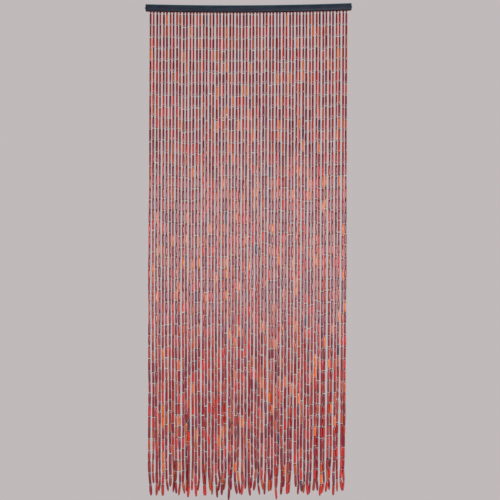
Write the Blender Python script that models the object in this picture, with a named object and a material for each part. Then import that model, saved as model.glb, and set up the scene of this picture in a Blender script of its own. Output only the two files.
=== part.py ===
"""Bead curtain of stained bamboo sticks under a bowed wooden head rail.

Metres, +Z up, +X to the right as seen from the front, +Y towards the wall.
The origin is the middle of the head rail's back face.
"""
import math
import random

import bmesh
import bpy
from mathutils import Vector

# Head rail: a flat batten on edge. It sags between its ends and hangs a little askew.
RAIL_LENGTH = 0.900
RAIL_HEIGHT = 0.027
RAIL_DEPTH = 0.020
RAIL_SAG = 0.007
RAIL_RISE = 0.008
RAIL_CUTS = 23
RAIL_EDGE_RADIUS = 0.0015

# Round-headed pins driven into the rail's ends
PIN_SHANK_DIAMETER = 0.0024
PIN_SHANK_LENGTH = 0.012
PIN_HEAD_DIAMETER = 0.0056
PIN_HEAD_LENGTH = 0.0036
# The head's outline as shares of its length and of its radius, from its rim to its crown
PIN_HEAD_OUTLINE = ((0.0, 1.0), (0.45, 1.0), (0.80, 0.78), (1.0, 0.36))
PIN_SIDES = 16
FIT_GAP = 0.0003
HOLE_EXTRA_DEPTH = 0.002

# Strands: pairs of strings, each string threaded through short sticks. A strand's solid is
# square: thin at its neck, as wide as the slim sticks of its upper end, and wider downwards.
PAIRS = 30
PAIR_PITCH = 0.02908
PAIR_SPREAD = 0.0133
STICKS = 42
TOP_PITCH = 0.0513
BOTTOM_PITCH = 0.0483
PITCH_SPREAD = 0.0021
NECK_SIDE = 0.0050
TOP_SIDE = 0.0072
BOTTOM_SIDE = 0.0090
TIP_SIDE = 0.0064
FIRST_STICK_DROP = 0.026
SHOULDER_HEIGHT = 0.002
STRIP_HEIGHT = 0.003

# How the strands hang: the curtain draws in a little and comes forward a little, each strand
# wanders, and its lowest sticks swing. Neighbours hang in two layers, so that the sticks that
# swing pass each other.
NARROWING = 0.006
NARROWING_START = 0.55
NARROWING_POWER = 1.2
FORWARD = 0.0005
WANDER_STEP = 0.0007
WANDER_KEPT = 0.9
SWING_DEGREES = (1.0, 3.0, 7.0)
MOST_SWING_DEGREES = 24.0
MOST_SWING = 0.0070
UPPER_LAYER_OFFSET = 0.0015
UPPER_LAYER_END = 0.17
LOWER_LAYER_OFFSET = 0.0048
LOWER_LAYER_START = 0.78
LOWER_LAYER_END = 0.93
SEED = 2630

# Sticks between two rings of the strands' solid, from the top down
STICKS_PER_STEP = (3,) * 12 + (2, 1, 1, 1, 1)


def clear_scene():
    for old in list(bpy.data.objects):
        bpy.data.objects.remove(old, do_unlink=True)


def make_material(name, colour, roughness, metallic=0.0):
    material = bpy.data.materials.new(name)
    material.use_nodes = True
    shader = material.node_tree.nodes["Principled BSDF"]
    shader.inputs["Base Color"].default_value = (*colour, 1.0)
    shader.inputs["Roughness"].default_value = roughness
    shader.inputs["Metallic"].default_value = metallic
    return material


def add_object(name, mesh_builder, material):
    mesh = bpy.data.meshes.new(name)
    mesh_builder.normal_update()
    mesh_builder.to_mesh(mesh)
    mesh_builder.free()
    mesh.materials.append(material)
    obj = bpy.data.objects.new(name, mesh)
    bpy.context.collection.objects.link(obj)
    return obj


def rail_height_at(x):
    """Height of the rail's middle line, which rises to both ends."""
    return RAIL_SAG * (2 * x / RAIL_LENGTH) ** 2 + RAIL_RISE * x / RAIL_LENGTH


def rail_slope_at(x):
    return math.atan(8 * RAIL_SAG * x / RAIL_LENGTH**2 + RAIL_RISE / RAIL_LENGTH)


def bend_to_rail(point):
    """Moves a point of the straight rail onto the sagging one, its section kept square."""
    slope = rail_slope_at(point.x)
    along = point.x - point.z * math.sin(slope)
    return Vector((along, point.y, rail_height_at(point.x) + point.z * math.cos(slope)))


def build_head_rail(material):
    bm = bmesh.new()
    bmesh.ops.create_cube(bm, size=1.0)
    bmesh.ops.scale(bm, vec=(RAIL_LENGTH, RAIL_DEPTH, RAIL_HEIGHT), verts=bm.verts)
    bmesh.ops.translate(bm, vec=(0, -RAIL_DEPTH / 2, 0), verts=bm.verts)
    long_edges = [e for e in bm.edges if abs(e.verts[0].co.x - e.verts[1].co.x) > RAIL_LENGTH / 2]
    bmesh.ops.subdivide_edges(bm, edges=long_edges, cuts=RAIL_CUTS, use_grid_fill=True)
    for vert in bm.verts:
        vert.co = bend_to_rail(vert.co)
    rail = add_object("head_rail", bm, material)
    bevel = rail.modifiers.new("Worn edges", "BEVEL")
    bevel.width = RAIL_EDGE_RADIUS
    bevel.segments = 2
    bevel.limit_method = "ANGLE"
    bevel.angle_limit = math.radians(40)
    return rail


def place_at_rail_end(obj, side):
    """Puts an object's own +X axis on the rail's middle line, pointing out of one end."""
    end = side * RAIL_LENGTH / 2
    obj.location = (end, -RAIL_DEPTH / 2, rail_height_at(end))
    slope = rail_slope_at(end)
    obj.rotation_euler = (0, -slope if side > 0 else math.pi - slope, 0)


def drill_rail_end(rail, side, name):
    """Cuts the blind hole that an end pin's shank goes into."""
    depth = PIN_SHANK_LENGTH + HOLE_EXTRA_DEPTH
    bm = bmesh.new()
    radius = PIN_SHANK_DIAMETER / 2 + FIT_GAP
    bmesh.ops.create_cone(
        bm, cap_ends=True, segments=PIN_SIDES, radius1=radius, radius2=radius, depth=2 * depth
    )
    for vert in bm.verts:
        vert.co = Vector((vert.co.z, vert.co.y, -vert.co.x))
    cutter = add_object(name, bm, rail.data.materials[0])
    cutter.hide_render = True
    cutter.display_type = "WIRE"
    place_at_rail_end(cutter, side)
    drill = rail.modifiers.new(name, "BOOLEAN")
    drill.operation = "DIFFERENCE"
    drill.object = cutter


def build_end_pin(name, side, material):
    """A turned pin: a plain shank and a domed head that stands on the rail's end."""
    shank = PIN_SHANK_DIAMETER / 2
    head = PIN_HEAD_DIAMETER / 2
    profile = [(-PIN_SHANK_LENGTH, shank), (FIT_GAP, shank)]
    profile += [(FIT_GAP + PIN_HEAD_LENGTH * a, head * r) for a, r in PIN_HEAD_OUTLINE]
    bm = bmesh.new()
    rings = []
    for along, radius in profile:
        angles = [math.tau * k / PIN_SIDES for k in range(PIN_SIDES)]
        ring = [bm.verts.new((along, radius * math.cos(a), radius * math.sin(a))) for a in angles]
        rings.append(ring)
    for ring, following in zip(rings, rings[1:]):
        for k in range(PIN_SIDES):
            after = (k + 1) % PIN_SIDES
            bm.faces.new((ring[k], ring[after], following[after], following[k]))
    bm.faces.new(rings[0])
    bm.faces.new(rings[-1])
    bmesh.ops.recalc_face_normals(bm, faces=bm.faces)
    pin = add_object(name, bm, material)
    pin.data.shade_smooth()
    pin.data.set_sharp_from_angle(angle=math.radians(40))
    place_at_rail_end(pin, side)
    return pin


def strand_root_x(index):
    """Strands hang in pairs, evenly spaced about the rail's middle."""
    pair, member = divmod(index, 2)
    middle = (pair - (PAIRS - 1) / 2) * PAIR_PITCH
    return middle + (member - 0.5) * PAIR_SPREAD


def part_way(value, start, end):
    """How far a value has come from start to end, from 0 to 1."""
    return max(0.0, min(1.0, (value - start) / (end - start)))


def strand_joints(index):
    """The points between one strand's sticks, from above the first to below the last."""
    rng = random.Random(SEED + index)
    root = strand_root_x(index)
    across = 2 * index / (2 * PAIRS - 1) - 1
    layer = 1 if index % 2 else -1
    wander = 0.0
    swing = 0.0
    height = rail_height_at(root) - FIRST_STICK_DROP
    points = [Vector((root, -RAIL_DEPTH / 2, height))]
    for stick in range(STICKS):
        down = (stick + 1) / STICKS
        pitch = TOP_PITCH + (BOTTOM_PITCH - TOP_PITCH) * down + rng.gauss(0, PITCH_SPREAD)
        wander = WANDER_KEPT * wander + rng.gauss(0, WANDER_STEP) * down
        swinging = stick - (STICKS - len(SWING_DEGREES))
        if swinging >= 0:
            angle = rng.gauss(0, SWING_DEGREES[swinging])
            angle = max(-MOST_SWING_DEGREES, min(MOST_SWING_DEGREES, angle))
            swing += pitch * math.sin(math.radians(angle))
            swing = max(-MOST_SWING, min(MOST_SWING, swing))
        lowered = part_way(down, NARROWING_START, 1.0) ** NARROWING_POWER
        depth = UPPER_LAYER_OFFSET * part_way(down, 0.0, UPPER_LAYER_END)
        depth += (LOWER_LAYER_OFFSET - UPPER_LAYER_OFFSET) * part_way(
            down, LOWER_LAYER_START, LOWER_LAYER_END
        )
        x = root - NARROWING * across * lowered + wander + swing
        y = -RAIL_DEPTH / 2 + layer * depth - FORWARD * lowered
        last = points[-1]
        height -= math.sqrt(pitch**2 - (x - last.x) ** 2 - (y - last.y) ** 2)
        points.append(Vector((x, y, height)))
    return points


def strip_stations():
    """Places along the hanging strip where a strand's root begins or ends."""
    margin = NECK_SIDE
    edges = []
    for index in range(2 * PAIRS):
        root = strand_root_x(index)
        edges += [root - NECK_SIDE / 2, root + NECK_SIDE / 2]
    return [edges[0] - margin, *edges, edges[-1] + margin]


def build_strands(material):
    """All strands, fused at their roots into the narrow strip under the rail."""
    bm = bmesh.new()
    front = -RAIL_DEPTH / 2 - NECK_SIDE / 2
    back = front + NECK_SIDE
    loops = []
    for x in strip_stations():
        top = rail_height_at(x) - RAIL_HEIGHT / 2 - FIT_GAP
        bottom = top - STRIP_HEIGHT
        corners = ((front, top), (back, top), (back, bottom), (front, bottom))
        loops.append([bm.verts.new((x, y, z)) for y, z in corners])
    undersides = []
    for here, beyond in zip(loops, loops[1:]):
        for k in range(4):
            after = (k + 1) % 4
            face = bm.faces.new((here[k], here[after], beyond[after], beyond[k]))
            if k == 2:
                undersides.append(face)
    bm.faces.new(loops[0])
    bm.faces.new(loops[-1])
    bmesh.ops.recalc_face_normals(bm, faces=bm.faces)

    roots = undersides[1::2]
    for index, root in enumerate(roots):
        joints = strand_joints(index)
        neck = lower_face(bm, root, joints[0], NECK_SIDE)
        shoulder = joints[0] - Vector((0, 0, SHOULDER_HEIGHT))
        tip = lower_face(bm, neck, shoulder, TOP_SIDE)
        joint = 0
        for step in STICKS_PER_STEP:
            joint += step
            side = TOP_SIDE + (BOTTOM_SIDE - TOP_SIDE) * joint / STICKS
            tip = lower_face(bm, tip, joints[joint], TIP_SIDE if joint == STICKS else side)
    return add_object("strands", bm, material)


def lower_face(bm, face, target, side):
    """Extrudes a strand's end face down to a level square about the target point."""
    pushed = bmesh.ops.extrude_discrete_faces(bm, faces=[face])["faces"][0]
    middle = pushed.calc_center_median()
    for vert in pushed.verts:
        x = math.copysign(side / 2, vert.co.x - middle.x)
        y = math.copysign(side / 2, vert.co.y - middle.y)
        vert.co = target + Vector((x, y, 0))
    return pushed


def build_part():
    clear_scene()
    painted_wood = make_material("Dark slate paint", (0.031, 0.039, 0.051), 0.45)
    dark_metal = make_material("Dark metal", (0.10, 0.10, 0.11), 0.35, 1.0)
    stained_bamboo = make_material("Stained bamboo", (0.28, 0.062, 0.052), 0.32)

    rail = build_head_rail(painted_wood)
    for side, where in ((-1, "left"), (1, "right")):
        drill_rail_end(rail, side, f"pin_hole_{where}")
        build_end_pin(f"end_pin_{where}", side, dark_metal)
    build_strands(stained_bamboo)


build_part()
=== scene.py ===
import math
import random

import bmesh
import bpy
import numpy as np
from mathutils import Matrix, Vector


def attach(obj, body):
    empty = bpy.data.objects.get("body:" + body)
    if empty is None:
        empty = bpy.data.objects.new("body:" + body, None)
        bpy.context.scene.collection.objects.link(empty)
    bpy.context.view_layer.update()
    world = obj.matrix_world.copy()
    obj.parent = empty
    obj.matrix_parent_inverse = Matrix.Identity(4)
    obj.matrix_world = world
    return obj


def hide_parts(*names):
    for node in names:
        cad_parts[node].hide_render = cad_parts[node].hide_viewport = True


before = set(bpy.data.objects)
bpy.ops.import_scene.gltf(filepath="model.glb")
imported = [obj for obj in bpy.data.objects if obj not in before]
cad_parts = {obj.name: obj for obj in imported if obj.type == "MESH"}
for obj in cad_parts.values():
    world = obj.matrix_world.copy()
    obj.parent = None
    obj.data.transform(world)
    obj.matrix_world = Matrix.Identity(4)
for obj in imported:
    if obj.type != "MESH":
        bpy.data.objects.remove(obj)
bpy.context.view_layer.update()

# Head rail. The real one is a planed softwood batten on edge, its corners eased with
# sandpaper and brushed with one coat of dark slate paint. A green-blue highlight is painted
# along its top edge, and painted shade darkens its underside.
# It sags between its ends and was hung with its right end a little high.
RAIL_LENGTH = 0.900
RAIL_HEIGHT = 0.027
RAIL_DEPTH = 0.020
RAIL_SAG = 0.007
RAIL_RISE = 0.008
RAIL_CUTS = 59
RAIL_CORNER = 0.0017
RAIL_CORNER_SEGMENTS = 3
LEAST_CORNER_DEGREES = 40
LEAST_CREASE_DEGREES = 35
SLATE_PAINT = (0.021, 0.031, 0.048, 1)
SLATE_PAINT_THIN = (0.030, 0.041, 0.059, 1)
SLATE_PAINT_THICK = (0.014, 0.022, 0.034, 1)
# Painted highlight: a lighter green-blue band along the top edge stands in for light falling on
# it.
TOP_EDGE_PAINTED_HIGHLIGHT = (0.006, 0.085, 0.092, 1)
TOP_HIGHLIGHT_HEIGHT = 0.0034
TOP_HIGHLIGHT_BLUR = 0.0006
# Painted shade: the rail's underside is darkened to stand in for the shadow beneath it.
UNDERSIDE_PAINTED_SHADE = (0.030, 0.025, 0.030, 1)
UNDERSIDE_SHADE_FROM = 0.0012
UNDERSIDE_SHADE_TO = 0.0002
BARE_BATTEN = (0.120, 0.080, 0.056, 1)
WORN_REACH = 0.0026
WORN_CORE = 0.0009
BRUSH_RIDGES = 0.00035


def open_for_editing(piece, kind, wanted):
    """Opens a piece in edit mode with only the wanted faces or edges selected."""
    bpy.context.view_layer.objects.active = piece
    bpy.ops.object.mode_set(mode="EDIT")
    bpy.context.tool_settings.mesh_select_mode = (False, kind == "edges", kind == "faces")
    bpy.ops.mesh.select_all(action="DESELECT")
    shape = bmesh.from_edit_mesh(piece.data)
    for part in getattr(shape, kind):
        if wanted(part):
            part.select_set(True)
    shape.select_flush_mode()
    bmesh.update_edit_mesh(piece.data)


def close_editing():
    """Takes the piece back out of edit mode."""
    bpy.ops.object.mode_set(mode="OBJECT")


def add_board(name, length, depth, height, middle, cuts):
    """A board along X at its real size, cut across into short lengths so that it can sag."""
    bpy.ops.object.select_all(action="DESELECT")
    bpy.ops.mesh.primitive_cube_add(size=1, location=middle)
    board = bpy.context.object
    board.name = name
    board.scale = (length, depth, height)
    bpy.ops.object.transform_apply(location=True, rotation=False, scale=True)
    open_for_editing(board, "edges", lambda e: e.calc_length() > length / 2)
    bpy.ops.mesh.subdivide(number_cuts=cuts)
    close_editing()
    return board


def ease_corners(piece, radius, segments):
    """Rounds the corners of a piece and shades it smooth, but for its creases."""
    bevel = piece.modifiers.new("Eased corners", "BEVEL")
    bevel.width = radius
    bevel.segments = segments
    bevel.limit_method = "ANGLE"
    bevel.angle_limit = math.radians(LEAST_CORNER_DEGREES)
    bpy.context.view_layer.objects.active = piece
    bpy.ops.object.modifier_apply(modifier=bevel.name)
    bpy.ops.object.select_all(action="DESELECT")
    piece.select_set(True)
    bpy.ops.object.shade_smooth_by_angle(angle=math.radians(LEAST_CREASE_DEGREES))


def rail_height_at(x):
    """How high the sagging rail's middle line is at x."""
    return RAIL_SAG * (2 * x / RAIL_LENGTH) ** 2 + RAIL_RISE * x / RAIL_LENGTH


def rail_slope_at(x):
    """The tilt of the rail's middle line at x, rising to the right."""
    return math.atan(8 * RAIL_SAG * x / RAIL_LENGTH**2 + RAIL_RISE / RAIL_LENGTH)


def sag_with_rail(piece):
    """Bends a straight piece to the rail's sag. Its straight shape stays as an attribute,
    which the paint follows."""
    straight = piece.data.attributes.new("straight", "FLOAT_VECTOR", "POINT")
    for vert, kept in zip(piece.data.vertices, straight.data):
        x, y, z = vert.co
        kept.vector = (x, y, z)
        slope = rail_slope_at(x)
        vert.co = (x - z * math.sin(slope), y, rail_height_at(x) + z * math.cos(slope))
    piece.data.update()


def new_finish(name):
    """A material with its node tree and its Principled shader."""
    finish = bpy.data.materials.new(name)
    finish.use_nodes = True
    return finish, finish.node_tree, finish.node_tree.nodes["Principled BSDF"]


def add_node(tree, kind, sockets, **settings):
    """Adds a node. Each socket takes a value, or the output of another node."""
    node = tree.nodes.new(kind)
    for name, value in settings.items():
        setattr(node, name, value)
    for name, value in sockets.items():
        if isinstance(value, bpy.types.NodeSocket):
            tree.links.new(value, node.inputs[name])
        else:
            node.inputs[name].default_value = value
    return node


def read_attribute(tree, name, output):
    """Reads a value that the mesh stores on its vertices."""
    return add_node(tree, "ShaderNodeAttribute", {}, attribute_name=name).outputs[output]


def stretched_noise(tree, place, stretch, detail=3.0, roughness=0.55):
    """Noise whose pattern repeats so many times a metre along each axis."""
    spread = add_node(tree, "ShaderNodeMapping", {"Vector": place, "Scale": stretch})
    sockets = {
        "Vector": spread.outputs["Vector"],
        "Scale": 1.0,
        "Detail": detail,
        "Roughness": roughness,
    }
    return add_node(tree, "ShaderNodeTexNoise", sockets).outputs["Fac"]


def levels(tree, value, low, high, new_low=0.0, new_high=1.0):
    """Maps low..high smoothly onto new_low..new_high and holds it there."""
    sockets = {
        "Value": value,
        "From Min": low,
        "From Max": high,
        "To Min": new_low,
        "To Max": new_high,
    }
    node = add_node(tree, "ShaderNodeMapRange", sockets, interpolation_type="SMOOTHSTEP")
    return node.outputs["Result"]


def calculate(tree, operation, first, second=0.0, third=0.0):
    """Works one number out of up to three."""
    sockets = {0: first, 1: second, 2: third}
    return add_node(tree, "ShaderNodeMath", sockets, operation=operation).outputs["Value"]


def blend_colours(tree, amount, first, second, blend_type="MIX"):
    """Goes from the first colour to the second as the amount grows from 0 to 1."""
    node = tree.nodes.new("ShaderNodeMix")
    node.data_type = "RGBA"
    node.blend_type = blend_type
    for socket, value in ((0, amount), (6, first), (7, second)):
        if isinstance(value, bpy.types.NodeSocket):
            tree.links.new(value, node.inputs[socket])
        else:
            node.inputs[socket].default_value = value
    return node.outputs[2]


def raise_surface(tree, shader, height, distance, strength):
    """Gives a finish its relief, as high as the distance where the height is 1."""
    sockets = {"Height": height, "Distance": distance, "Strength": strength}
    bump = add_node(tree, "ShaderNodeBump", sockets)
    tree.links.new(bump.outputs["Normal"], shader.inputs["Normal"])


def slate_paint():
    """Brushed paint: lengthwise strokes, thicker and thinner places and worn corners. A
    green-blue highlight is painted along the top edge, and painted shade darkens the underside."""
    finish, tree, shader = new_finish("slate_paint")
    place = read_attribute(tree, "straight", "Vector")
    strokes = stretched_noise(tree, place, (7, 330, 330), detail=5)
    patches = stretched_noise(tree, place, (26, 40, 60), detail=3)
    grain = stretched_noise(tree, place, (16, 900, 520), detail=4, roughness=0.7)
    colour = blend_colours(
        tree, levels(tree, strokes, 0.34, 0.66), SLATE_PAINT_THICK, SLATE_PAINT
    )
    thin = calculate(tree, "MULTIPLY", levels(tree, patches, 0.45, 0.75), 0.7)
    colour = blend_colours(tree, thin, colour, SLATE_PAINT_THIN)
    parts = add_node(tree, "ShaderNodeSeparateXYZ", {"Vector": place}).outputs
    across = calculate(tree, "ABSOLUTE", calculate(tree, "ADD", parts["Y"], RAIL_DEPTH / 2))
    across = calculate(tree, "SUBTRACT", RAIL_DEPTH / 2, across)
    upright = calculate(tree, "SUBTRACT", RAIL_HEIGHT / 2, calculate(tree, "ABSOLUTE", parts["Z"]))
    from_corner = calculate(tree, "MAXIMUM", across, upright)
    corner = levels(tree, from_corner, WORN_REACH, WORN_CORE)
    scuffs = levels(tree, grain, 0.50, 0.66)
    worn = calculate(tree, "MULTIPLY", calculate(tree, "MULTIPLY", corner, scuffs), 0.45)
    colour = blend_colours(tree, worn, colour, BARE_BATTEN)
    # Painted highlight: a lighter green-blue band along the top edge, where light falls on it.
    edge_start = RAIL_HEIGHT / 2 - TOP_HIGHLIGHT_HEIGHT
    painted_top_highlight = levels(
        tree, parts["Z"], edge_start - TOP_HIGHLIGHT_BLUR, edge_start + TOP_HIGHLIGHT_BLUR
    )
    colour = blend_colours(tree, painted_top_highlight, colour, TOP_EDGE_PAINTED_HIGHLIGHT)
    # Painted shade: the underside is darkened to stand in for the shadow beneath the rail.
    underside = -RAIL_HEIGHT / 2
    below = levels(tree, parts["Z"], underside + UNDERSIDE_SHADE_FROM, underside + UNDERSIDE_SHADE_TO)
    colour = blend_colours(tree, below, colour, UNDERSIDE_PAINTED_SHADE)
    tree.links.new(colour, shader.inputs["Base Color"])
    gloss = levels(tree, strokes, 0.3, 0.7, 0.36, 0.52)
    gloss = calculate(tree, "ADD", gloss, calculate(tree, "MULTIPLY", worn, 0.35))
    tree.links.new(gloss, shader.inputs["Roughness"])
    shader.inputs["Specular IOR Level"].default_value = 0.25
    ridges = calculate(tree, "ADD", strokes, calculate(tree, "MULTIPLY", grain, 0.6))
    raise_surface(tree, shader, ridges, BRUSH_RIDGES, 0.35)
    return finish


slate = slate_paint()
rail = add_board(
    "head_rail_board", RAIL_LENGTH, RAIL_DEPTH, RAIL_HEIGHT, (0, -RAIL_DEPTH / 2, 0), RAIL_CUTS
)
ease_corners(rail, RAIL_CORNER, RAIL_CORNER_SEGMENTS)
sag_with_rail(rail)
rail.data.materials.append(slate)
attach(rail, "root")
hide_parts("head_rail")

# End pins. A round-headed steel pin is driven into each end of the rail, its head darkened
# with age. The head is turned, a low dome with a soft rim.
PIN_HEAD_RADIUS = 0.0028
PIN_HEAD_LENGTH = 0.0036
PIN_DOME = 0.72 * PIN_HEAD_LENGTH
PIN_DOME_SEGMENTS = 6
PIN_RIM = 0.00015
PIN_RIM_SEGMENTS = 2
PIN_SHANK_RADIUS = 0.0012
PIN_SHANK_LENGTH = 0.012
PIN_SEAT = 0.0003
PIN_SIDES = 32
OLD_STEEL = (0.085, 0.085, 0.090, 1)
OLD_STEEL_RUBBED = (0.230, 0.225, 0.220, 1)
STEEL_PITS = 0.0001


def darkened_steel():
    """Old steel: dark and pitted, rubbed paler where the hammer and hands touched it."""
    finish, tree, shader = new_finish("darkened_steel")
    place = add_node(tree, "ShaderNodeTexCoord", {}).outputs["Object"]
    mottle = stretched_noise(tree, place, (900, 900, 900), detail=5)
    colour = blend_colours(
        tree, levels(tree, mottle, 0.42, 0.68), OLD_STEEL, OLD_STEEL_RUBBED
    )
    tree.links.new(colour, shader.inputs["Base Color"])
    tree.links.new(levels(tree, mottle, 0.3, 0.7, 0.55, 0.30), shader.inputs["Roughness"])
    shader.inputs["Metallic"].default_value = 1.0
    raise_surface(tree, shader, mottle, STEEL_PITS, 0.3)
    return finish


steel = darkened_steel()
for side, node_name in ((-1, "end_pin_left"), (1, "end_pin_right")):
    bpy.ops.object.select_all(action="DESELECT")
    bpy.ops.mesh.primitive_cylinder_add(
        vertices=PIN_SIDES, radius=PIN_SHANK_RADIUS, depth=PIN_SHANK_LENGTH + PIN_SEAT
    )
    pin = bpy.context.object
    pin.name = node_name + "_turned"
    shank_top = (PIN_SHANK_LENGTH + PIN_SEAT) / 2
    open_for_editing(pin, "faces", lambda f: f.normal.z > 0.9)
    bpy.ops.mesh.extrude_region_move()
    ratio = PIN_HEAD_RADIUS / PIN_SHANK_RADIUS
    bpy.ops.transform.resize(value=(ratio, ratio, 1))
    bpy.ops.mesh.extrude_region_move(TRANSFORM_OT_translate={"value": (0, 0, PIN_HEAD_LENGTH)})
    bpy.ops.mesh.select_mode(type="EDGE")
    bpy.ops.mesh.bevel(offset=PIN_DOME, segments=PIN_DOME_SEGMENTS, affect="EDGES")
    close_editing()
    ease_corners(pin, PIN_RIM, PIN_RIM_SEGMENTS)
    end = side * RAIL_LENGTH / 2
    turn = Matrix.Rotation(side * math.pi / 2 - rail_slope_at(end), 4, "Y")
    seat = Vector((end, -RAIL_DEPTH / 2, rail_height_at(end)))
    inward = Matrix.Translation((0, 0, PIN_SEAT - shank_top))
    pin.data.transform(Matrix.Translation(seat) @ turn @ inward)
    pin.data.materials.append(steel)
    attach(pin, "root")
    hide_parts(node_name)

# Screw eyes. Each is a coppered wire ring on a short shank, screwed up into the rail's
# underside and left turned a little this way or that. Sixty hang in a row, in pairs.
PAIRS = 30
PAIR_PITCH = 0.02908
PAIR_SPREAD = 0.0133
STRANDS = 2 * PAIRS
EYE_RADIUS = 0.0015
EYE_WIRE = 0.00065
EYE_NECK = 0.0006
EYE_RING_CUTS = 14
EYE_WIRE_SIDES = 6
EYE_SHANK_RADIUS = 1.25 * EYE_WIRE
EYE_SHANK_LENGTH = 0.0050
EYE_SHANK_TAPER = 0.75
EYE_SHANK_SIDES = 8
EYE_TURN = 0.7
EYE_SEED = 11
EYE_CREASE_DEGREES = 50
COPPER_BROWN = (0.560, 0.240, 0.150, 1)
COPPER_BRIGHT = (0.830, 0.480, 0.360, 1)
COPPER_TARNISH = (0.220, 0.090, 0.060, 1)
COPPER_PITS = 0.0001


def strand_root_x(index):
    """Strands hang in pairs, evenly spaced about the rail's middle."""
    pair, member = divmod(index, 2)
    middle = (pair - (PAIRS - 1) / 2) * PAIR_PITCH
    return middle + (member - 0.5) * PAIR_SPREAD


def tarnished_copper():
    """Copper plating: brown for the most part, bright in spots and dark in others."""
    finish, tree, shader = new_finish("tarnished_copper")
    place = add_node(tree, "ShaderNodeTexCoord", {}).outputs["Object"]
    mottle = stretched_noise(tree, place, (700, 700, 700), detail=5)
    colour = blend_colours(
        tree, levels(tree, mottle, 0.50, 0.72), COPPER_BROWN, COPPER_BRIGHT
    )
    colour = blend_colours(tree, levels(tree, mottle, 0.46, 0.30), colour, COPPER_TARNISH)
    tree.links.new(colour, shader.inputs["Base Color"])
    tree.links.new(levels(tree, mottle, 0.3, 0.7, 0.58, 0.34), shader.inputs["Roughness"])
    shader.inputs["Metallic"].default_value = 1.0
    raise_surface(tree, shader, mottle, COPPER_PITS, 0.25)
    return finish


def points_of(mesh):
    """A mesh's vertices as an array with one row each."""
    points = np.empty(len(mesh.vertices) * 3)
    mesh.vertices.foreach_get("co", points)
    return points.reshape(-1, 3)


def join_copies(name, pattern, points):
    """One piece from many copies of a pattern mesh. points holds each copy's vertices."""
    copies, size = points.shape[:2]
    loop_verts = np.empty(len(pattern.loops), dtype=np.int32)
    pattern.loops.foreach_get("vertex_index", loop_verts)
    loop_starts = np.empty(len(pattern.polygons), dtype=np.int32)
    pattern.polygons.foreach_get("loop_start", loop_starts)
    order = np.arange(copies, dtype=np.int32)[:, None]
    mesh = bpy.data.meshes.new(name)
    mesh.vertices.add(copies * size)
    mesh.vertices.foreach_set("co", points.reshape(-1))
    mesh.loops.add(copies * len(loop_verts))
    mesh.loops.foreach_set("vertex_index", (loop_verts + size * order).ravel())
    mesh.polygons.add(copies * len(loop_starts))
    mesh.polygons.foreach_set("loop_start", (loop_starts + len(loop_verts) * order).ravel())
    mesh.update(calc_edges=True)
    mesh.validate()
    piece = bpy.data.objects.new(name, mesh)
    bpy.context.scene.collection.objects.link(piece)
    return piece


def shade_round(piece, crease_degrees):
    """Shades a joined piece smooth, but for edges that turn more than the angle given."""
    piece.data.shade_smooth()
    piece.data.set_sharp_from_angle(angle=math.radians(crease_degrees))


def take_pattern(pattern):
    """Takes a finished pattern out of the scene and hands back its mesh."""
    mesh = pattern.data
    bpy.data.objects.remove(pattern)
    return mesh


bpy.ops.object.select_all(action="DESELECT")
bpy.ops.mesh.primitive_torus_add(
    major_segments=EYE_RING_CUTS, minor_segments=EYE_WIRE_SIDES,
    major_radius=EYE_RADIUS, minor_radius=EYE_WIRE,
    rotation=(math.pi / 2, 0, 0), location=(0, 0, -EYE_NECK - EYE_RADIUS),
)
ring = bpy.context.object
bpy.ops.mesh.primitive_cylinder_add(
    vertices=EYE_SHANK_SIDES, radius=EYE_SHANK_RADIUS, depth=EYE_SHANK_LENGTH,
    location=(0, 0, EYE_SHANK_LENGTH / 2 - EYE_NECK),
)
shank = bpy.context.object
open_for_editing(shank, "faces", lambda f: f.normal.z < -0.9)
bpy.ops.transform.resize(value=(EYE_SHANK_TAPER, EYE_SHANK_TAPER, 1))
close_editing()
ring.select_set(True)
bpy.context.view_layer.objects.active = ring
bpy.ops.object.join()
bpy.ops.object.transform_apply(location=True, rotation=True, scale=True)
eye = take_pattern(ring)

turns = random.Random(EYE_SEED)
eye_points = []
for index in range(STRANDS):
    root = strand_root_x(index)
    turn = Matrix.Rotation(turns.uniform(-EYE_TURN, EYE_TURN), 3, "Z")
    seat = Vector((root, -RAIL_DEPTH / 2, rail_height_at(root) - RAIL_HEIGHT / 2))
    eye_points.append(points_of(eye) @ np.array(turn).T + np.array(seat))
eyes = join_copies("screw_eyes", eye, np.array(eye_points))
shade_round(eyes, EYE_CREASE_DEGREES)
eyes.data.materials.append(tarnished_copper())
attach(eyes, "root")
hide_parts("strands")

# Sticks. Thin bamboo canes are cut to finger length, drilled through the pith, tumbled,
# stained in mixed reds and lacquered. Some are straight and some swell like a spindle. The
# lowest of each strand is whittled to a blunt point, and a short bead tops each strand.
STICKS = 42
TOP_PITCH = 0.0513
BOTTOM_PITCH = 0.0483
PITCH_SPREAD = 0.0021
FIRST_STICK_DROP = 0.026
NARROWING = 0.006
NARROWING_START = 0.55
NARROWING_POWER = 1.2
FORWARD = 0.0005
WANDER_STEP = 0.0007
WANDER_KEPT = 0.9
SWING_DEGREES = (1.0, 3.0, 7.0)
MOST_SWING_DEGREES = 24.0
MOST_SWING = 0.0070
UPPER_LAYER_OFFSET = 0.0015
UPPER_LAYER_END = 0.17
LOWER_LAYER_OFFSET = 0.0048
LOWER_LAYER_START = 0.78
LOWER_LAYER_END = 0.93
STRAND_SEED = 2630

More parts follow.
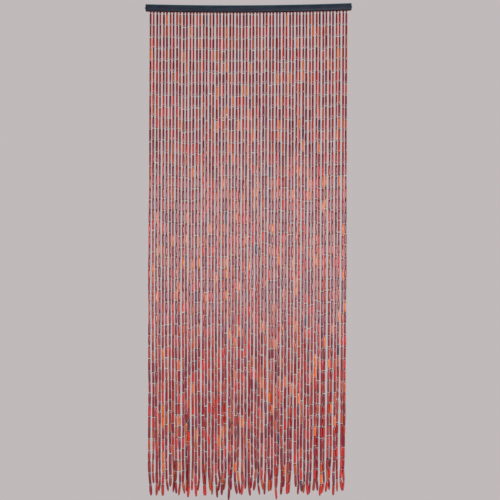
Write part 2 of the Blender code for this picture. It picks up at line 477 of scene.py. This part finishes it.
STICK_RADIUS = 0.0042
STICK_LENGTH = 0.046
STICK_SIDES = 8
STICK_CUTS = 3
STICK_RIM = 0.0006
STICK_BORE = 0.0013
STICK_BORE_DEPTH = 0.0024
STICK_BORE_TAPER = 0.1 * STICK_BORE
STICK_CREASE_DEGREES = 50
STICK_SEED = 77
STICK_GAP = 0.0025
STICK_GAP_SPREAD = 0.0013
LEAST_GAP = 0.0006
MOST_GAP = 0.0066
FIRST_GAP_SPREAD = 0.003
LAST_STICK_EXTRA = 0.0015
TOP_GIRTH = 1.03
BOTTOM_GIRTH = 1.50
GIRTH_GROWTH = 2.6
MOST_GIRTH = 1.50
GIRTH_SPREAD = 0.07
GIRTH_RANGE = (0.82, 1.16)
SPINDLES_AT_TOP = 0.12
MORE_SPINDLES_BELOW = 0.20
SPINDLE_BELLY = (0.12, 0.30)
SPINDLE_EXTRA_GIRTH = 0.06
STRAIGHT_BELLY = (0.0, 0.06)
FLATTEST = 0.90
BEND_SPREAD = 0.00025
POINT_LENGTH = 0.25
POINT_DEPTH = 0.32
POINT_POWER = 1.9
TOP_BEAD_DROP = 0.0024
TOP_BEAD_LENGTH = 0.0078
TOP_BEAD_GIRTH = 1.04
TOP_BEAD_GIRTH_RANGE = (0.88, 1.12)
TOP_BEAD_BELLY = 0.22
STICK_CLEARANCE = 0.0003
WALL_CLEARANCE = 0.0006
ROOM_DEPTH = 2.2
ROOM_STEP = 0.002
WIDEST_ROOM = 1.0
FAR_AWAY = 10.0
STRANDS_PER_PIECE = 6

# Each stain's name, the share of sticks that take it, and its colour.
STAINS = (
    ("oxblood", 0.25, (0.255, 0.003, 0.006)),
    ("brick", 0.22, (0.345, 0.015, 0.006)),
    ("maroon", 0.10, (0.185, 0.002, 0.008)),
    ("wine", 0.11, (0.220, 0.005, 0.021)),
    ("rust", 0.13, (0.400, 0.047, 0.008)),
    ("scarlet", 0.11, (0.480, 0.009, 0.006)),
    ("orange", 0.045, (0.610, 0.110, 0.009)),
    ("chestnut", 0.025, (0.260, 0.030, 0.012)),
    ("plum", 0.010, (0.090, 0.013, 0.040)),
)
TOP_BEAD_TONES = 0.66
CUT_END = (0.060, 0.006, 0.006, 1)
CANE = (0.560, 0.180, 0.090, 1)
FIBRE_RIDGES = 0.00012
GLOSS_RANGE = (0.34, 0.62)


def part_way(value, start, end):
    """How far a value has come from start to end, from 0 to 1."""
    return max(0.0, min(1.0, (value - start) / (end - start)))


def strand_joints(index):
    """The points between one strand's sticks, from above the first to below the last."""
    rng = random.Random(STRAND_SEED + index)
    root = strand_root_x(index)
    across = 2 * index / (STRANDS - 1) - 1
    layer = 1 if index % 2 else -1
    wander = 0.0
    swing = 0.0
    height = rail_height_at(root) - FIRST_STICK_DROP
    points = [Vector((root, -RAIL_DEPTH / 2, height))]
    for stick in range(STICKS):
        down = (stick + 1) / STICKS
        pitch = TOP_PITCH + (BOTTOM_PITCH - TOP_PITCH) * down + rng.gauss(0, PITCH_SPREAD)
        wander = WANDER_KEPT * wander + rng.gauss(0, WANDER_STEP) * down
        swinging = stick - (STICKS - len(SWING_DEGREES))
        if swinging >= 0:
            angle = rng.gauss(0, SWING_DEGREES[swinging])
            angle = max(-MOST_SWING_DEGREES, min(MOST_SWING_DEGREES, angle))
            swing += pitch * math.sin(math.radians(angle))
            swing = max(-MOST_SWING, min(MOST_SWING, swing))
        lowered = part_way(down, NARROWING_START, 1.0) ** NARROWING_POWER
        depth = UPPER_LAYER_OFFSET * part_way(down, 0.0, UPPER_LAYER_END)
        depth += (LOWER_LAYER_OFFSET - UPPER_LAYER_OFFSET) * part_way(
            down, LOWER_LAYER_START, LOWER_LAYER_END
        )
        x = root - NARROWING * across * lowered + wander + swing
        y = -RAIL_DEPTH / 2 + layer * depth - FORWARD * lowered
        last = points[-1]
        height -= math.sqrt(pitch**2 - (x - last.x) ** 2 - (y - last.y) ** 2)
        points.append(Vector((x, y, height)))
    return points


def stained_bamboo():
    """Stain over bamboo: a tone for each stick, streaks along the fibres, darker towards both
    ends of each stick, and a lacquer that is glossier on some sticks than on others."""
    finish, tree, shader = new_finish("stained_bamboo")
    tone = read_attribute(tree, "stain", "Fac")
    ramp = add_node(tree, "ShaderNodeValToRGB", {"Fac": tone})
    ramp.color_ramp.interpolation = "CONSTANT"
    start = 0.0
    for number, (_, share, colour) in enumerate(STAINS):
        stops = ramp.color_ramp.elements
        stop = stops[number] if number < 2 else stops.new(start)
        stop.position = start
        stop.color = (*colour, 1)
        start += share
    place = read_attribute(tree, "cane_place", "Vector")
    fibres = stretched_noise(tree, place, (1500, 1500, 26), detail=4, roughness=0.65)
    clouds = stretched_noise(tree, place, (190, 190, 60), detail=3)
    along = read_attribute(tree, "along", "Fac")
    shade = levels(tree, fibres, 0.28, 0.72, 0.62, 1.30)
    shade = calculate(tree, "MULTIPLY", shade, levels(tree, clouds, 0.3, 0.7, 0.78, 1.22))
    grey = add_node(
        tree, "ShaderNodeCombineColor", {"Red": shade, "Green": shade, "Blue": shade}
    ).outputs["Color"]
    colour = blend_colours(tree, 1.0, ramp.outputs["Color"], grey, "MULTIPLY")
    # Each stick is darkened towards both of its ends.
    from_middle = calculate(
        tree, "ABSOLUTE", calculate(tree, "MULTIPLY_ADD", along, 2.0, -1.0)
    )
    darkened_ends = levels(tree, calculate(tree, "MULTIPLY_ADD", clouds, 0.25, from_middle), 0.92, 1.10)
    colour = blend_colours(tree, calculate(tree, "MULTIPLY", darkened_ends, 0.62), colour, CUT_END)
    rubbed = levels(tree, calculate(tree, "MULTIPLY", fibres, clouds), 0.36, 0.46, 0.0, 0.25)
    colour = blend_colours(tree, rubbed, colour, CANE)
    cut = read_attribute(tree, "cut", "Fac")
    colour = blend_colours(tree, calculate(tree, "MULTIPLY", cut, 0.75), colour, CUT_END)
    tree.links.new(colour, shader.inputs["Base Color"])
    gloss = read_attribute(tree, "gloss", "Fac")
    rough = calculate(tree, "MULTIPLY_ADD", fibres, 0.16, gloss)
    rough = calculate(tree, "MULTIPLY_ADD", cut, 0.35, rough)
    tree.links.new(rough, shader.inputs["Roughness"])
    shader.inputs["Specular IOR Level"].default_value = 0.5
    shader.inputs["Coat Weight"].default_value = 0.55
    shader.inputs["Coat Roughness"].default_value = 0.14
    raise_surface(tree, shader, fibres, FIBRE_RIDGES, 0.5)
    return finish


bpy.ops.object.select_all(action="DESELECT")
bpy.ops.mesh.primitive_cylinder_add(
    vertices=STICK_SIDES, radius=STICK_RADIUS, depth=STICK_LENGTH
)
cane = bpy.context.object
open_for_editing(cane, "edges", lambda e: e.calc_length() > STICK_LENGTH / 2)
bpy.ops.mesh.subdivide(number_cuts=STICK_CUTS)
close_editing()
open_for_editing(cane, "faces", lambda f: abs(f.normal.z) > 0.9)
bpy.ops.mesh.region_to_loop()
bpy.ops.mesh.bevel(offset=STICK_RIM, segments=1, affect="EDGES")
close_editing()
open_for_editing(cane, "faces", lambda f: abs(f.normal.z) > 0.9)
bpy.ops.mesh.inset(thickness=STICK_RADIUS - STICK_RIM - STICK_BORE, use_individual=True)
bpy.ops.mesh.inset(thickness=STICK_BORE_TAPER, depth=-STICK_BORE_DEPTH, use_individual=True)
close_editing()
stick = take_pattern(cane)

stick_points = points_of(stick)
stick_along = stick_points[:, 2] / STICK_LENGTH + 0.5
stick_reach = np.hypot(stick_points[:, 0], stick_points[:, 1])
stick_cut = (stick_reach < STICK_RADIUS - STICK_RIM / 2).astype(float)
bead_points = stick_points * (1, 1, TOP_BEAD_LENGTH / STICK_LENGTH)
chance = np.random.default_rng(STICK_SEED)


def sticks_of(joints):
    """The head and foot of each stick of one strand, and the direction from foot to head."""
    joints = np.array([tuple(p) for p in joints])
    run = joints[:-1] - joints[1:]
    run /= np.linalg.norm(run, axis=1)[:, None]
    gaps = chance.normal(STICK_GAP, STICK_GAP_SPREAD, STICKS + 1).clip(LEAST_GAP, MOST_GAP)
    gaps[0] = chance.uniform(-FIRST_GAP_SPREAD, FIRST_GAP_SPREAD)
    gaps[-1] = -2 * LAST_STICK_EXTRA
    heads = joints[:-1] - run * gaps[:-1, None] / 2
    feet = joints[1:] + run * gaps[1:, None] / 2
    return heads, feet, run


def room_for_sticks(strands):
    """The largest radius that each stick may have beside its neighbours and the wall."""
    depths = np.arange(0.0, ROOM_DEPTH, ROOM_STEP)
    paths = []
    for index, joints in enumerate(strands):
        x, y, z = np.array([tuple(p) for p in joints]).T
        away = FAR_AWAY * index
        paths.append((np.interp(depths, -z, x, right=away), np.interp(depths, -z, y, right=away)))
    paths = np.array(paths)
    nearest = np.full((STRANDS, len(depths)), WIDEST_ROOM)
    for apart in (1, 2):
        gap = np.hypot(*(paths[apart:] - paths[:-apart]).transpose(1, 0, 2)) - STICK_CLEARANCE
        nearest[apart:] = np.minimum(nearest[apart:], gap)
        nearest[:-apart] = np.minimum(nearest[:-apart], gap)
    room = []
    for index, joints in enumerate(strands):
        for above, below in zip(joints, joints[1:]):
            beside = (depths > -above.z - ROOM_STEP) & (depths < -below.z + ROOM_STEP)
            wall = -max(above.y, below.y) - WALL_CLEARANCE
            room.append(min(nearest[index, beside].min() / 2, wall))
    return np.array(room).reshape(STRANDS, STICKS)


def shape_sticks(heads, feet, run, down, room):
    """The vertices of each stick, with its own girth, belly, bend and turn. Thin straight
    sticks were strung at the top, and thick round-bellied ones lower down."""
    count = len(heads)
    spindle = chance.random(count) < SPINDLES_AT_TOP + MORE_SPINDLES_BELOW * down
    swollen = chance.uniform(*SPINDLE_BELLY, count)
    straight = chance.uniform(*STRAIGHT_BELLY, count)
    belly = np.where(spindle, swollen, straight)
    girth = chance.normal(1.0, GIRTH_SPREAD, count).clip(*GIRTH_RANGE)
    girth = girth + np.where(spindle, SPINDLE_EXTRA_GIRTH, 0.0)
    girth = girth * (TOP_GIRTH + (BOTTOM_GIRTH - TOP_GIRTH) * down**GIRTH_GROWTH)
    girth = np.minimum(girth, room / STICK_RADIUS).clip(max=MOST_GIRTH)
    middle = 2 * stick_along - 1
    swell = 1 - belly[:, None] * middle**2
    near_tip = np.maximum(1 - stick_along / POINT_LENGTH, 0.0)
    point = 1 - POINT_DEPTH * near_tip**POINT_POWER
    swell = np.where(down[:, None] == 1, swell * point, swell)
    turn = chance.uniform(0, math.tau, count)
    flatness = chance.uniform(FLATTEST, 1.0, count)
    bend = chance.normal(0, BEND_SPREAD, count)
    x = stick_points[:, 0] * girth[:, None] * swell + (1 - middle**2) * bend[:, None]
    y = stick_points[:, 1] * girth[:, None] * swell * flatness[:, None]
    side = np.cross(run, (0.0, 1.0, 0.0))
    side /= np.linalg.norm(side, axis=1)[:, None]
    front = np.cross(run, side)
    u = side * np.cos(turn)[:, None] + front * np.sin(turn)[:, None]
    v = np.cross(run, u)
    shaft = feet[:, None, :] + (heads - feet)[:, None, :] * stick_along[None, :, None]
    return shaft + x[..., None] * u[:, None, :] + y[..., None] * v[:, None, :]


def mark_points(piece, name, kind, values):
    """Stores a value on each vertex, for the materials to read."""
    marks = piece.data.attributes.new(name, kind, "POINT")
    field = "vector" if kind == "FLOAT_VECTOR" else "value"
    marks.data.foreach_set(field, np.ascontiguousarray(values, dtype=np.float32).reshape(-1))


def finish_sticks(piece, count, tones):
    """Marks each stick's own tone and gloss for the stain, and fixes the piece in place."""
    size = len(stick_points)
    elsewhere = chance.uniform(-1, 1, (count, 1, 3))
    mark_points(piece, "cane_place", "FLOAT_VECTOR", stick_points[None] + elsewhere)
    mark_points(piece, "stain", "FLOAT", np.repeat(tones, size))
    gloss = chance.uniform(*GLOSS_RANGE, count) ** 2
    mark_points(piece, "gloss", "FLOAT", np.repeat(gloss, size))
    mark_points(piece, "along", "FLOAT", np.tile(stick_along, count))
    mark_points(piece, "cut", "FLOAT", np.tile(stick_cut, count))
    shade_round(piece, STICK_CREASE_DEGREES)
    piece.data.materials.append(bamboo)
    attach(piece, "root")
    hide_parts("strands")


bamboo = stained_bamboo()
strands = [strand_joints(index) for index in range(STRANDS)]
strand_sticks = [sticks_of(joints) for joints in strands]
strand_room = room_for_sticks(strands)
for first in range(0, STRANDS, STRANDS_PER_PIECE):
    group = strand_sticks[first:first + STRANDS_PER_PIECE]
    heads = np.concatenate([s[0] for s in group])
    feet = np.concatenate([s[1] for s in group])
    run = np.concatenate([s[2] for s in group])
    down = np.tile(np.arange(STICKS) / (STICKS - 1), len(group))
    room = strand_room[first:first + STRANDS_PER_PIECE].ravel()
    name = f"sticks_{first // STRANDS_PER_PIECE + 1:02d}"
    piece = join_copies(name, stick, shape_sticks(heads, feet, run, down, room))
    finish_sticks(piece, len(heads), chance.random(len(heads)))

bead_places = []
for joints in strands:
    root = joints[0]
    drop = rail_height_at(root.x) - RAIL_HEIGHT / 2 - TOP_BEAD_DROP - TOP_BEAD_LENGTH / 2
    girth = TOP_BEAD_GIRTH * chance.uniform(*TOP_BEAD_GIRTH_RANGE)
    belly = 1 - TOP_BEAD_BELLY * (2 * stick_along - 1) ** 2
    place = bead_points * np.stack((girth * belly, girth * belly, np.ones(len(belly))), 1)
    bead_places.append(place + (root.x, root.y, drop))
top_beads = join_copies("top_beads", stick, np.array(bead_places))
finish_sticks(top_beads, STRANDS, chance.uniform(0, TOP_BEAD_TONES, STRANDS))

# Cords. One cream cotton cord runs through the bores of each strand's sticks. A knot in
# every gap keeps the sticks apart, and the top end is looped through its screw eye.
CORD_RADIUS = 0.0012
CORD_SIDES = 6
KNOT_RADIUS = 0.0026
KNOT_SEAT = 0.0003
KNOT_SIDES = 7
KNOT_RINGS = 5
KNOT_TWISTED_FROM = 0.1
KNOT_TWIST = math.radians(24)
KNOT_SIZES = (0.75, 1.25)
TOP_KNOT_SHAPE = (1.1, 1.1, 0.6)
TOP_KNOT_RISE = 0.4
END_KNOT_RADIUS = 0.0022
END_KNOT_DROP = 0.55
LOOP_RADIUS = 0.0013
LOOP_CORD_RADIUS = 0.75 * CORD_RADIUS
LOOP_CUTS = 12
LOOP_CORD_SIDES = 5
CORD_CREASE_DEGREES = 65
CREAM_COTTON = (0.780, 0.500, 0.420, 1)
COTTON_SHADOW = (0.440, 0.210, 0.170, 1)
COTTON_STAINED = (0.520, 0.140, 0.105, 1)


def cream_cotton():
    """Twisted cotton that has picked up a little stain from the sticks."""
    finish, tree, shader = new_finish("cream_cotton")
    place = add_node(tree, "ShaderNodeTexCoord", {}).outputs["Object"]
    fluff = stretched_noise(tree, place, (2400, 2400, 1500), detail=3)
    soiling = stretched_noise(tree, place, (90, 90, 24), detail=2)
    colour = blend_colours(tree, levels(tree, fluff, 0.62, 0.36), CREAM_COTTON, COTTON_SHADOW)
    stained = levels(tree, soiling, 0.50, 0.72, 0.0, 0.75)
    colour = blend_colours(tree, stained, colour, COTTON_STAINED)
    tree.links.new(colour, shader.inputs["Base Color"])
    tree.links.new(levels(tree, fluff, 0.3, 0.7, 0.95, 0.8), shader.inputs["Roughness"])
    return finish


cotton = cream_cotton()

bpy.ops.object.select_all(action="DESELECT")
bpy.ops.mesh.primitive_uv_sphere_add(segments=KNOT_SIDES, ring_count=KNOT_RINGS, radius=1)
knot_ball = bpy.context.object
open_for_editing(knot_ball, "faces", lambda f: f.calc_center_median().z > KNOT_TWISTED_FROM)
bpy.ops.transform.rotate(
    value=KNOT_TWIST, orient_axis="Z", orient_type="GLOBAL", center_override=(0, 0, 0)
)
close_editing()
knot = take_pattern(knot_ball)
knot_points = points_of(knot)

bpy.ops.mesh.primitive_cylinder_add(vertices=CORD_SIDES, radius=1, depth=1)
link_cylinder = bpy.context.object
link = take_pattern(link_cylinder)
link_points = points_of(link)

bpy.ops.mesh.primitive_torus_add(
    major_segments=LOOP_CUTS, minor_segments=LOOP_CORD_SIDES, major_radius=LOOP_RADIUS,
    minor_radius=LOOP_CORD_RADIUS, rotation=(0, math.pi / 2, 0),
)
loop_ring = bpy.context.object
bpy.ops.object.transform_apply(location=False, rotation=True, scale=False)
loop = take_pattern(loop_ring)
loop_points = points_of(loop)

knots, links, loops = [], [], []
for joints, (heads, feet, run) in zip(strands, strand_sticks):
    eye_low = rail_height_at(joints[0].x) - RAIL_HEIGHT / 2 - EYE_NECK - 2 * EYE_RADIUS
    loop_middle = eye_low - LOOP_RADIUS + 2 * EYE_WIRE
    tied = np.array((joints[0].x, joints[0].y, loop_middle - LOOP_RADIUS))
    ends = [(tied, heads[0] - run[0] * STICK_BORE_DEPTH)]
    for upper in range(STICKS - 1):
        above = feet[upper] + run[upper] * STICK_BORE_DEPTH
        below = heads[upper + 1] - run[upper + 1] * STICK_BORE_DEPTH
        ends.append((above, below))
        middle = (feet[upper] + heads[upper + 1]) / 2
        size = KNOT_RADIUS * chance.uniform(*KNOT_SIZES)
        half_gap = np.linalg.norm(feet[upper] - heads[upper + 1]) / 2 + KNOT_SEAT
        knots.append(knot_points * (size, size, min(size, half_gap)) + middle)
    top_knot = knot_points * KNOT_RADIUS * TOP_KNOT_SHAPE
    knots.append(top_knot + heads[0] + run[0] * KNOT_RADIUS * TOP_KNOT_RISE)
    tail = feet[-1] - run[-1] * END_KNOT_RADIUS * END_KNOT_DROP
    knots.append(knot_points * END_KNOT_RADIUS + tail)
    ends.append((feet[-1] + run[-1] * STICK_BORE_DEPTH, tail))
    loops.append(loop_points + (joints[0].x, joints[0].y, loop_middle))
    for above, below in ends:
        shaft = above - below
        aim = Vector(shaft).to_track_quat("Z", "Y").to_matrix()
        sized = link_points * (CORD_RADIUS, CORD_RADIUS, np.linalg.norm(shaft))
        links.append(sized @ np.array(aim).T + (above + below) / 2)

for name, pattern, points in (
    ("strand_knots", knot, knots),
    ("strand_cords", link, links),
    ("cord_loops", loop, loops),
):
    piece = join_copies(name, pattern, np.array(points))
    shade_round(piece, CORD_CREASE_DEGREES)
    piece.data.materials.append(cotton)
    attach(piece, "root")
    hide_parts("strands")

# Floor and studio. A plain pale floor lies below the strands, under an even pale sky. One
# wide soft lamp stands beside the camera, and gives the middle of the curtain its sheen. The
# camera stands straight in front, at mid height.
FLOOR_HEIGHT = -2.32
FLOOR_FRONT = -2.6
FLOOR_BACK = 0.40
FLOOR_HALF_WIDTH = 1.9
FLOOR_PALE = (0.640, 0.630, 0.620, 1)
FLOOR_MOTTLE = (0.500, 0.500, 0.500, 1)
SKY_PALE = (0.530, 0.486, 0.490, 1)
SKY_IN_GLOSS = (0.080, 0.072, 0.072, 1)
CAMERA_PLACE = (0.0101, -3.05, -1.0549)
CAMERA_ROLL = math.radians(0.2)
CAMERA_LENS = 50
LAMP_PLACE = (1.1, -3.1, -1.08)
LAMP_AIM = (0.0, 0.0, -1.6)
LAMP_SIZE = (1.4, 1.45)
LAMP_COLOUR = (0.96, 0.97, 1.07)
LAMP_WATTS = 41.5
LAMP_SPREAD = math.radians(110)

bpy.ops.object.select_all(action="DESELECT")
floor_middle = (0, (FLOOR_FRONT + FLOOR_BACK) / 2, FLOOR_HEIGHT)
bpy.ops.mesh.primitive_plane_add(size=1, location=floor_middle)
floor = bpy.context.object
floor.name = "pale_floor"
floor.scale = (2 * FLOOR_HALF_WIDTH, FLOOR_BACK - FLOOR_FRONT, 1)
floor_finish, floor_tree, floor_shader = new_finish("pale_floor")
floor_place = add_node(floor_tree, "ShaderNodeTexCoord", {}).outputs["Object"]
floor_mottle = stretched_noise(floor_tree, floor_place, (6, 6, 6), detail=2)
floor_patches = levels(floor_tree, floor_mottle, 0.3, 0.7, 0.0, 0.06)
floor_colour = blend_colours(floor_tree, floor_patches, FLOOR_PALE, FLOOR_MOTTLE)
floor_tree.links.new(floor_colour, floor_shader.inputs["Base Color"])
floor_shader.inputs["Roughness"].default_value = 0.9
floor.data.materials.append(floor_finish)

scene = bpy.context.scene
scene.view_settings.view_transform = "Standard"
world = bpy.data.worlds.new("pale_sky")
world.use_nodes = True
sky = world.node_tree.nodes["Background"]
rays = add_node(world.node_tree, "ShaderNodeLightPath", {}).outputs
sky_colour = blend_colours(world.node_tree, rays["Is Glossy Ray"], SKY_PALE, SKY_IN_GLOSS)
world.node_tree.links.new(sky_colour, sky.inputs["Color"])
scene.world = world

lamp_data = bpy.data.lights.new("soft_lamp", "AREA")
lamp_data.shape = "RECTANGLE"
lamp_data.size, lamp_data.size_y = LAMP_SIZE
lamp_data.color = LAMP_COLOUR
lamp_data.energy = LAMP_WATTS
lamp_data.spread = LAMP_SPREAD
lamp = bpy.data.objects.new("soft_lamp", lamp_data)
lamp.location = LAMP_PLACE
lamp.rotation_mode = "QUATERNION"
lamp.rotation_quaternion = (Vector(LAMP_AIM) - Vector(LAMP_PLACE)).to_track_quat("-Z", "Y")
lamp.visible_camera = False
scene.collection.objects.link(lamp)

camera_data = bpy.data.cameras.new("camera")
camera_data.lens = CAMERA_LENS
camera = bpy.data.objects.new("camera", camera_data)
camera.location = CAMERA_PLACE
camera.rotation_euler = (math.pi / 2, -CAMERA_ROLL, 0)
scene.collection.objects.link(camera)
scene.camera = camera
